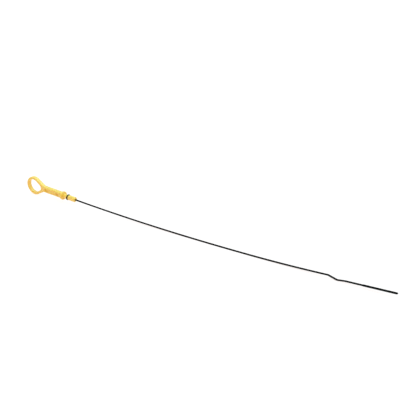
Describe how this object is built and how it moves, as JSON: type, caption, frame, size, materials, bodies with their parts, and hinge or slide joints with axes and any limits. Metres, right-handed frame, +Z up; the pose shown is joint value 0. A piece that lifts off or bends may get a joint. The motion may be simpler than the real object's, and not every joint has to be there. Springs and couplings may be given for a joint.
{
  "type": "engine oil dipstick",
  "caption": "Engine oil dipstick: a moulded finger-ring handle with a flange and rubber seal, on a long bowed flat steel blade with a joggle before its marked measuring end.",
  "frame": {"origin": "middle of the part's plan, on the flat surface that it lies on", "axes": "+X from the finger ring towards the blade's tip, +Y across the blade's width, +Z up; the ring's plane is the XZ plane"},
  "size_m": [0.6454, 0.0146, 0.0324],
  "materials": {
    "handle_plastic": "injection moulded glass-filled nylon, satin signal yellow",
    "seal_rubber": "black nitrile rubber, smooth moulded",
    "blade_steel": "dark oxide spring steel strip, low sheen"
  },
  "bodies": {
    "root": {"handle": "handle_plastic", "seal_ring": "seal_rubber", "blade": "blade_steel"}
  },
  "joints": []
}
